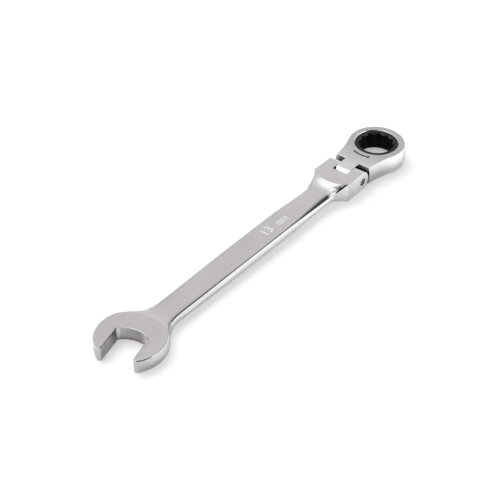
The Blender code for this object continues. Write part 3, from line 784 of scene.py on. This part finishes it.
def mouthOutline(size):
    # between the jaws and past their tips, in coordinates along (u) and across (v) the jaws
    opening = size["jawOpening"] / 2
    far = 3 * size["jawRadius"]
    run = size["throatDepth"] - size["shoulderDepth"]
    chord = opening - size["cornerWidth"]
    baseRadius = (chord**2 + run**2) / (2 * run)
    swing = math.degrees(math.asin(chord / baseRadius))
    tip = arcPoints((size["jawReach"] - size["tipRound"], opening + size["tipRound"]), size["tipRound"], 0, -90, 8)
    upper = [(far, far), (size["jawReach"], far), *tip, (-size["flatEnd"], opening)]
    base = arcPoints((baseRadius - size["throatDepth"], 0), baseRadius, 180 - swing, 180 + swing, 28)
    lower = [(u, -v) for u, v in reversed(upper)]
    c, s = math.cos(math.radians(size["jawAngle"])), math.sin(math.radians(size["jawAngle"]))
    return [(-u * c - v * s, -u * s + v * c) for u, v in upper + base + lower]


def flaredCutter(name, outline, high, flare, at, deep=None, reach=0.003):
    # a cutter whose ends widen, to leave a chamfer on both faces
    deep, beyond = deep or flare, high + reach
    levels = [(-beyond, flare), (-high, flare), (deep - high, 0), (high - deep, 0), (high, flare), (beyond, flare)]
    turned = sum(a[0] * b[1] - b[0] * a[1] for a, b in zip(outline, outline[1:] + outline[:1])) < 0
    loops = []
    for z, grow in levels:
        ring = insetOutline(outline, grow if turned else -grow) if grow else outline
        loops.append([(x, y, z) for x, y in ring])
    return toObject(name, skin(loops), at)


def makeHandle(size):
    handle = toObject("wrenchHandle", skin(handleLoops(size)), jawAt)
    edge, deep = size["mouthEdge"], size["mouthEdgeDeep"]
    shape(handle, flaredCutter("mouth", mouthOutline(size), size["jawThick"] / 2, edge, jawAt, deep))
    wide, floor, end = size["slotHalf"], -size["slotFloor"], size["slotOpen"]
    slot = [(floor, -wide), (end, -wide), (end, wide), (floor, wide)]
    shape(handle, flaredCutter("tangSlot", slot, half, size["slotEdge"], hingeAt))
    hole, sink, side = size["pinHole"], size["countersink"], size["forkWide"] / 2
    lower = [(hole + sink, -side - past), (hole + sink, -side), (hole, sink - side)]
    profile = lower + [(radius, -height) for radius, height in reversed(lower)]
    shape(handle, toObject("pinHole", spun(profile, size["pinHoleSteps"]), hingeAt, "Y"))
    bore = [(size["ballBore"], -size["ballBoreEnd"]), (size["ballBore"], lap - size["slotFloor"])]
    shape(handle, toObject("ballBore", spun(bore, size["ballBoreSteps"]), hingeAt, "X"))
    smoothPiece(handle)
    scoopEnd = hingeAt.x - size["forkFaceRadius"]
    scoopStart = scoopEnd - size["scoop"]
    plan = handlePlan(size)
    faceRadius, centre = faceArc(size)
    satin, side, flareFace, mouth, recessShade, jaw, throat, scoop = range(8)
    finishes = [satinChrome, beamSidePaintedLight, flareSidePaintedLight, mouthWallPaintedShade, recessShadeSteel, jawSidePaintedLight, throatWallPaintedLight, scoopChrome]

    def finishFor(at, normal):
        fromJaw, fromHinge = at.x - jawAt.x, at.x - hingeAt.x
        level, margin, rimNormal = abs(normal.z), nearly / 2, 0.3
        # the countersink round the pin and the slot's walls take painted shade
        if math.hypot(fromHinge, at.z - hingeAt.z) < size["pinZone"] and abs(normal.y) < 0.98:
            return recessShade
        if fromHinge > -size["slotFloor"] - nearly and abs(at.y) < size["slotHalf"] + margin and level < wallNormal:
            return recessShade
        if (at - jawAt).length < size["mouthZone"] and level < wallNormal:
            return throat if normal.x < -0.4 else mouth
        onScoop = scoopStart < at.x < hingeAt.x and math.hypot(fromHinge, at.y) > size["forkFaceRadius"] - margin
        if onScoop and level > rimNormal:
            return scoop if level > flatNormal or at.x > scoopStart + size["scoopEdge"] else side
        run = fromJaw - bowedX(size["faceEnd"], at.y, -faceRadius, centre)
        if 0 < run < size["ramp"] and level > rimNormal:
            start, grown = size["rimFinish"]
            wide = start + grown * eased(run, 0, size["ramp"] / size["rimPace"])
            return satin if wallGap(plan, fromJaw, at.y) > wide else side
        if level > flatNormal:
            return satin
        if fromHinge > -size["flareFace"] and abs(normal.y) > 0.75:
            return flareFace
        # the near-side, neck-side and tip edges take the lighter beam side chrome for their highlights, a painted
        # highlight
        nearEdge = level > 0.35 and (at.y < 0 or fromJaw > 0 or fromJaw < -size["tipZone"])
        return jaw if fromJaw < size["jawZone"] and not nearEdge else side

    dress(handle, finishes, finishFor)
    settle(handle, "handle", "handle", "handle")


makeHandle(handleSize)
print("handle made")


# raised size mark on the beam
sizeMark = {
    # text, start along the beam, narrowing and weight
    "words": [("13", -0.0015, 1, -0.00005), ("mm", 0.0075, 0.7, -0.0001)],
    "low": -0.00195,
    "height": 0.0041,
    "raised": 0.00008,
    "edge": 0.0003,
    "spacing": 1.03,
    "capital": 0.73,  # height of a capital in a font of size 1
    "sunk": 0.00012,
}


def makeSizeMark(mark):
    bm = bmesh.new()
    for text, start, narrow, weight in mark["words"]:
        words = bpy.data.curves.new("sizeMark", "FONT")
        words.body = text
        words.size = mark["height"] / mark["capital"]
        words.extrude = mark["raised"]
        words.bevel_depth = mark["edge"]
        words.bevel_resolution = 3
        words.offset = weight
        words.space_character = mark["spacing"]
        spot = Matrix.Translation((start, mark["low"], hingeAt.z + handleSize["beamThick"] / 2 - mark["sunk"]))
        addLine(bm, words, spot @ Matrix.Diagonal((narrow, 1, 1, 1)))
    piece = toObject("sizeMark", bm, (0, 0, 0))
    piece.data.shade_smooth()
    piece.data.set_sharp_from_angle(angle=math.radians(lineSharp))
    dress(piece, [markPaintedHighlight])
    settle(piece, "handle", "handle")


makeSizeMark(sizeMark)
print("size mark made")


# ratchet head: ring, neck and tang
headSize = {
    "ringRadius": 0.012313,
    "shoulder": 0.005,
    "shoulderWide": 0.0167,
    "flankRadius": 0.05,
    "edge": 0.0003,
    "crown": 0.0006,
    "shoulderEdge": 0.00022,
    "shoulderCut": -0.003,  # where the cut behind the shoulder starts
    "tangRoot": 0.0005,
    "tangHalf": 0.00352,
    "tangEdge": 0.00012,
    "collarHole": 0.009413,
    "boreEdge": 0.00026,
    "gearBore": 0.010763,
    "ringSeat": 0.011363,
    "grooveLow": -0.00365,
    "grooveHigh": -0.00275,
    "web": 0.00135,
    "roundSteps": 144,
    "pinHole": 0.00151,
    "pinHoleSteps": 48,
    "pinHoleReach": 0.006,
    "pocketWall": -0.01373,
    "pocketFront": -0.00996,
    "pocketHalf": (0.00335, 0.00255),
    "pocketMiddle": 0.000125,
    "springBore": 0.00125,
    "springBoreEnd": -0.01733,
    "springBoreSteps": 32,
}


def headOutline(size):
    offset = socketAt.x - hingeAt.x
    corner = Vector((size["shoulder"] - lap, size["shoulderWide"] / 2))
    ring = Vector((offset, 0))
    reach = size["ringRadius"] + size["flankRadius"]
    apart = corner - ring
    along = (apart.length**2 + reach**2 - size["flankRadius"] ** 2) / (2 * apart.length)
    across = math.sqrt(reach**2 - along**2)
    line = apart.normalized()
    centre = ring + line * along + Vector((line.y, -line.x)) * across
    touch = centre - ring
    first = corner - centre
    start = math.degrees(math.atan2(first.y, first.x))
    stop = math.degrees(math.atan2(-touch.y, -touch.x))
    flank = arcPoints(centre, size["flankRadius"], start, stop, 24)[:-1]
    ringAngle = math.degrees(math.atan2(touch.y, touch.x))
    rim = arcPoints(ring, size["ringRadius"], ringAngle, -ringAngle, 120)
    outline = flank + rim + [(x, -y) for x, y in reversed(flank)]
    return list(reversed(outline))


def makeHead(size):
    head = toObject("ratchetHead", slab(headOutline(size), -half, half, size["edge"], 4, size["crown"]), hingeAt)
    wide = size["shoulderWide"]
    start, stop = size["shoulderCut"], size["shoulder"]
    end = [(start, -wide), (stop, -wide), (stop, wide), (start, wide)]
    shape(head, flaredCutter("shoulderCut", end, half, size["shoulderEdge"], hingeAt))
    root = size["shoulder"] + size["tangRoot"]
    tangSide = [*arcPoints((0, 0), half, 90, 270, 48), (root, -half), (root, half)]
    tang = slab(tangSide, -size["tangHalf"], size["tangHalf"], size["tangEdge"], 4)
    shape(head, toObject("tang", tang, hingeAt, "Y"), "UNION")
    hole, edge, bore = size["collarHole"], size["boreEdge"], size["gearBore"]
    profile = [
        (bore + edge, -half - past),
        (bore + edge, -half),
        (bore, edge - half),
        (bore, size["grooveLow"]),
        (size["ringSeat"], size["grooveLow"]),
        (size["ringSeat"], size["grooveHigh"]),
        (bore, size["grooveHigh"]),
        (bore, half - size["web"]),
        (hole, half - size["web"]),
        (hole, half - edge),
        (hole + edge, half),
        (hole + edge, half + past),
    ]
    shape(head, toObject("gearBore", spun(profile, size["roundSteps"]), socketAt))
    wide, tall = size["pocketHalf"]
    middle = socketAt + Vector((0, 0, size["pocketMiddle"]))
    wall, front = size["pocketWall"], size["pocketFront"]
    pocket = slab([(wall, -wide), (front, -wide), (front, wide), (wall, wide)], -tall, tall)
    shape(head, toObject("pawlPocket", pocket, middle))
    spring = [(size["springBore"], size["springBoreEnd"]), (size["springBore"], wall + lap)]
    shape(head, toObject("pawlSpringBore", spun(spring, size["springBoreSteps"]), middle, "X"))
    pin = [(size["pinHole"], -size["pinHoleReach"]), (size["pinHole"], size["pinHoleReach"])]
    shape(head, toObject("tangHole", spun(pin, size["pinHoleSteps"]), hingeAt, "Y"))
    smoothPiece(head)
    satin, polished, shoulderShade, side = range(4)

    def finishFor(at, normal):
        # the shoulder face takes painted shade
        if normal.x < -0.9 and abs(at.x - hingeAt.x - size["shoulder"]) < nearly:
            return shoulderShade
        if abs(normal.z) < wallNormal and math.hypot(at.x - socketAt.x, at.y) > size["ringRadius"] - 2 * nearly:
            return side
        return satin if abs(normal.z) > flatNormal else polished

    dress(head, [headSatinAndSheen, polishedChrome, shoulderShadeChrome, headSidePaintedLight], finishFor)
    settle(head, "ratchet_head", "ratchet_head", "ratchet_head")


makeHead(headSize)
print("ratchet head made")


# etched drive arrow on the head
arrowSize = {
    "radius": 0.01195,
    "start": 160.5,
    "stop": 196.5,
    "tip": 202,
    "line": 0.00085,
    "barb": 0.0021,
    "thick": 0.000012,
}


def makeArrow(size):
    line, barb = size["line"] / 2, size["barb"] / 2
    outer = arcPoints((0, 0), size["radius"] + line, size["start"], size["stop"], 24)
    inner = arcPoints((0, 0), size["radius"] - line, size["stop"], size["start"], 24)
    point = arcPoints((0, 0), size["radius"], size["tip"], size["tip"] + 1, 1)[0]
    barbs = [arcPoints((0, 0), size["radius"] + side, size["stop"], size["stop"] + 1, 1)[0] for side in (barb, -barb)]
    outline = [*outer, barbs[0], point, barbs[1], *inner]
    bm = slab(outline, -size["thick"], size["thick"])
    arrow = toObject("driveArrow", bm, (socketAt.x, socketAt.y, 2 * half))
    dress(arrow, [etchedMark])
    settle(arrow, "ratchet_head", "ratchet_head")


makeArrow(arrowSize)
print("drive arrow made")


# drive gear: toothed band, collar and 12-point socket
gearSize = {
    "points": 12,
    "corner": 0.0079,
    "valley": 0.0071,
    "teeth": 72,
    "root": 0.009963,
    "tip": 0.010563,
    "land": 0.000085,
    "steep": 12,
    "bandLow": -0.00263,
    "bandHigh": 0.00288,
    "collar": 0.009213,
    "collarEdge": 0.00025,
    "top": 0.00425,
    "foot": -0.00385,
    "mouth": 0.00085,
    "footMouth": 0.0006,
    "starCut": 0.008,
    "roundSteps": 144,
    "chamferNormal": (0.4, 0.9),  # how level the chamfers are
    "sharp": 14,  # edges sharper than this angle stay sharp
}


def makeGear(size):
    pitch = 2 * math.pi / size["teeth"]
    steep = (size["tip"] - size["root"]) * math.tan(math.radians(size["steep"])) / size["root"]
    land = size["land"] / size["root"]
    root, tip = size["root"], size["tip"]
    band = []
    for i in range(size["teeth"]):
        start = math.pi + i * pitch
        tooth = [(root, start), (tip, start + steep), (tip, start + steep + land), (root, start + pitch - land)]
        band += [(radius * math.cos(angle), radius * math.sin(angle)) for radius, angle in tooth]
    gear = toObject("driveGear", slab(band, size["bandLow"], size["bandHigh"]), socketAt)
    edge, wall, foot, top = size["collarEdge"], size["collar"], size["foot"], size["top"]
    collar = [(wall - edge, foot), (wall, foot + edge), (wall, top - edge), (wall - edge, top)]
    shape(gear, toObject("collar", spun(collar, size["roundSteps"]), socketAt), "UNION")
    corner, valley = size["corner"], size["valley"]
    first = -math.pi / size["teeth"]
    star = []
    for i in range(2 * size["points"]):
        radius, angle = valley if i % 2 else corner, first + i * math.pi / size["points"]
        star.append((radius * math.cos(angle), radius * math.sin(angle)))
    shape(gear, toObject("socketStar", slab(star, -size["starCut"], size["starCut"]), socketAt))
    cone = [
        (valley + size["footMouth"] + past, foot - past),
        (valley - past, foot + size["footMouth"] + past),
        (valley - past, top - size["mouth"] - past),
        (valley + size["mouth"] + past, top + past),
    ]
    shape(gear, toObject("socketMouth", spun(cone, size["roundSteps"]), socketAt))
    smoothPiece(gear, size["sharp"])
    black, broachedShade, worn = range(3)
    steepest, flattest = size["chamferNormal"]

    def finishFor(at, normal):
        inside = math.hypot(at.x - socketAt.x, at.y) < corner + nearly
        if steepest < abs(normal.z) < flattest:
            return worn
        # the socket's walls take the painted shade
        return broachedShade if inside and abs(normal.z) < steepest else black

    dress(gear, [blackOxide, broachedShadeOxide, wornOxide], finishFor)
    settle(gear, "drive_gear", "drive_gear", "drive_gear")


makeGear(gearSize)
print("drive gear made")


# hinge pin
pinSize = {
    "radius": 0.00145,
    "half": 0.0087,
    "edge": 0.0003,
    "dimple": 0.0005,
    "dimpleFoot": 0.0001,
    "dimpleDepth": 0.0002,
    "steps": 56,
}


def makePin(size):
    rim = [(size["radius"] - inset, size["half"] - drop) for inset, drop in edgeSteps(size["edge"], 4)]
    end = rim + [(size["dimple"], size["half"]), (size["dimpleFoot"], size["half"] - size["dimpleDepth"])]
    profile = [(radius, -height) for radius, height in reversed(end)] + end
    pin = toObject("hingePin", spun(profile, size["steps"]), hingeAt, "Y")
    smoothPiece(pin)

    # the pin's rim and dimple sides take painted shade
    def finishFor(at, normal):
        return 0 if abs(normal.y) > 0.97 else 1

    dress(pin, [pinSteel, recessShadeSteel], finishFor)
    settle(pin, "handle", "hinge_pin", "hinge_pin")


makePin(pinSize)
print("hinge pin made")


# retaining ring in the groove under the gear
ringSize = {"outer": 0.011263, "inner": 0.009413, "low": -0.00355, "high": -0.00285, "gap": 36, "edge": 0.00008}


def makeRing(size):
    start, stop = size["gap"] / 2, 360 - size["gap"] / 2
    outline = arcPoints((0, 0), size["outer"], start, stop, 96) + arcPoints((0, 0), size["inner"], stop, start, 96)
    ring = toObject("retainingRing", slab(outline, size["low"], size["high"], size["edge"], 2), socketAt)
    smoothPiece(ring)
    dress(ring, [ringSteel])
    settle(ring, "ratchet_head", "retaining_ring", "retaining_ring")


makeRing(ringSize)
print("retaining ring made")


# coil springs of the pawl and of the detent ball
springSize = {"wire": 0.0002, "pitch": 0.00088, "perTurn": 28}


def makeSpring(name, node, body, size):
    low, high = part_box(node)
    middle = (low + high) / 2
    coil = (high.z - low.z) / 2 - size["wire"]
    start, stop = low.x + size["wire"], high.x - size["wire"]
    turns = (stop - start) / size["pitch"]
    count = round(turns * size["perTurn"])
    wire = bpy.data.curves.new(name, "CURVE")
    wire.dimensions = "3D"
    wire.bevel_depth = size["wire"]
    wire.bevel_resolution = 4
    wire.use_fill_caps = True
    line = wire.splines.new("POLY")
    line.points.add(count)
    for i, point in enumerate(line.points):
        turn = 2 * math.pi * turns * i / count
        x = start + (stop - start) * i / count
        point.co = (x, middle.y + coil * math.cos(turn), middle.z + coil * math.sin(turn), 1)
    bm = bmesh.new()
    addLine(bm, wire, Matrix())
    bmesh.ops.remove_doubles(bm, verts=bm.verts, dist=welded)
    spring = toObject(name, bm, (0, 0, 0))
    spring.data.shade_smooth()
    spring.data.set_sharp_from_angle(angle=math.radians(lineSharp))
    dress(spring, [wireSteel])
    settle(spring, body, node, node)
    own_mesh(spring)


makeSpring("pawlSpring", "pawl_spring", "ratchet_head", springSize)
makeSpring("detentSpring", "detent_spring", "handle", springSize)
print("springs made")


# hidden steel pieces keep their CAD shape and get their finish
for node, finish in {"pawl": pawlSteel, "detent_ball": ballSteel}.items():
    kept = frame["nodes"][node]
    kept.data.materials.clear()
    kept.data.materials.append(finish)
print("pawl and ball dressed")


# stage: pale floor that the jaw and the fork rest on
floorLie = {
    "jawX": -0.0893,
    "jawZ": 0.00135,
    "forkX": 0.0415,
    "size": 3,
    "colour": (0.92, 0.92, 0.92),
    "lift": {"Is Camera Ray": 0.37, "Is Glossy Ray": 0.13, "Is Transmission Ray": 0.34},
    # glossy rays see the floor darker near the tool: a painted shadow in reflections
    "farLift": 0.3,  # added for glossy rays away from the tool
    "farFrom": (0.013, 0.034),
    "fade": (0.2, 0.6),  # distance over which the floor turns white
    "rough": 0.9,
    "below": 0.00002,
}


def makeFloor(lie):
    slope = lie["jawZ"] / (lie["jawX"] - lie["forkX"])
    side = lie["size"]
    mesh = bpy.data.meshes.new("floor")
    corners = [(-side, -side), (side, -side), (side, side), (-side, side)]
    places = [(x, y, slope * (x - lie["forkX"]) - lie["below"]) for x, y in corners]
    mesh.from_pydata(places, [], [(0, 1, 2, 3)])
    floor = bpy.data.objects.new("floor", mesh)
    scene.collection.objects.link(floor)
    finish, tree, shader, spot = newFinish("paleFloor")
    feed(tree, shader, {"Base Color": (*lie["colour"], 1), "Roughness": lie["rough"], "Specular IOR Level": 0})
    distance = addNode(tree, "ShaderNodeVectorMath", {0: spot}, "LENGTH")
    away = smoothMask(tree, distance.outputs["Value"], *lie["fade"])
    path = addNode(tree, "ShaderNodeLightPath", {})
    parts = addNode(tree, "ShaderNodeSeparateXYZ", {"Vector": spot})
    # painted shadow: the glossy lift grows only with distance across from the tool
    across = addNode(tree, "ShaderNodeMath", {0: parts.outputs["Y"]}, "ABSOLUTE").outputs["Value"]
    far = spread(tree, across, 0, lie["farLift"], *lie["farFrom"])
    level = 0  # rays that see the floor as a pale background
    for ray, lift in [*lie["lift"].items(), ("Is Glossy Ray", far)]:
        inputs = {0: path.outputs[ray], 1: lift, 2: level}
        level = addNode(tree, "ShaderNodeMath", inputs, "MULTIPLY_ADD").outputs["Value"]
    pale = addNode(tree, "ShaderNodeEmission", {"Strength": level})
    lit = addNode(tree, "ShaderNodeAddShader", {0: shader.outputs["BSDF"], 1: pale.outputs["Emission"]})
    white = addNode(tree, "ShaderNodeEmission", {"Strength": 1})
    inputs = {"Fac": away, 1: lit.outputs["Shader"], 2: white.outputs["Emission"]}
    mix = addNode(tree, "ShaderNodeMixShader", inputs)
    feed(tree, tree.nodes["Material Output"], {"Surface": mix.outputs["Shader"]})
    mesh.materials.append(finish)


makeFloor(floorLie)
print("floor laid")


# studio: soft surroundings with a pale sweep, darker parts behind the camera and to the right
studio = {
    "sweep": [(0.0, 1.0), (0.3, 0.92), (0.62, 0.665), (1.0, 0.67)],  # level by height of the direction
    "patches": [  # azimuth, elevation, inner and outer half angle, level
        (128, 65, 14, 32, 1.07),
        (70, 18, 14, 36, 0.56),
        (-62, 36, 10, 28, 1.1),
        (-80, 60, 10, 24, 1.05),
        (-22, 50, 5, 27, 0.045),
        (-7, 29, 9, 19, 0.08),
        (9, 11, 9, 18, 0.1),
        (-110, 32, 20, 32, 0.008),
        (-138, 62, 4, 13, 0.07),
        (-165, 80, 4, 11, 0.07),
        (130, 81, 3, 10, 0.3),
    ],
    "fill": 0.4,
    "key": {"azimuth": 80, "elevation": 54, "away": 1.0, "wide": 1.2, "tall": 0.9, "level": 2.2},
}


def towards(azimuth, elevation):
    a, e = math.radians(azimuth), math.radians(elevation)
    return Vector((math.cos(a) * math.cos(e), math.sin(a) * math.cos(e), math.sin(e)))


def makeStudio(light):
    world = bpy.data.worlds.new("studio")
    world.use_nodes = True
    scene.world = world
    tree = world.node_tree
    back = tree.nodes["Background"]
    spot = addNode(tree, "ShaderNodeTexCoord", {}).outputs["Generated"]
    parts = addNode(tree, "ShaderNodeSeparateXYZ", {"Vector": spot})
    stops = [(position, (level, level, level, 1)) for position, level in light["sweep"]]
    colour = rampOf(tree, parts.outputs["Z"], stops).outputs["Color"]
    for azimuth, elevation, inner, outer, level in light["patches"]:
        dot = addNode(tree, "ShaderNodeVectorMath", {0: spot, 1: towards(azimuth, elevation)}, "DOT_PRODUCT")
        rim, core = math.cos(math.radians(outer)), math.cos(math.radians(inner))
        mask = smoothMask(tree, dot.outputs["Value"], rim, core)
        mix = addNode(tree, "ShaderNodeMix", {})  # its colours are inputs 6 and 7 and output 2
        mix.data_type = "RGBA"
        feed(tree, mix, {0: mask, 6: colour, 7: (level, level, level, 1)})
        colour = mix.outputs[2]
    feed(tree, back, {"Color": colour})
    path = addNode(tree, "ShaderNodeLightPath", {})
    pure = (1, 1, 1, 1)
    around = addNode(tree, "ShaderNodeBackground", {"Color": pure, "Strength": light["fill"]})  # for matt surfaces
    white = addNode(tree, "ShaderNodeBackground", {"Color": pure})
    shader = around.outputs["Background"]
    for ray, sight in (("Is Glossy Ray", back), ("Is Camera Ray", white)):
        inputs = {"Fac": path.outputs[ray], 1: shader, 2: sight.outputs["Background"]}
        shader = addNode(tree, "ShaderNodeMixShader", inputs).outputs["Shader"]
    feed(tree, tree.nodes["World Output"], {"Surface": shader})
    key = light["key"]
    lamp = bpy.data.lights.new("keySoftbox", "AREA")
    lamp.shape = "RECTANGLE"
    lamp.size = key["wide"]
    lamp.size_y = key["tall"]
    lamp.energy = key["level"] * math.pi * key["wide"] * key["tall"]
    box = bpy.data.objects.new("keySoftbox", lamp)
    box.visible_glossy = False
    way = towards(key["azimuth"], key["elevation"])
    box.location = way * key["away"]
    box.rotation_mode = "QUATERNION"
    box.rotation_quaternion = way.to_track_quat("Z", "Y")
    scene.collection.objects.link(box)


makeStudio(studio)
print("studio lit")
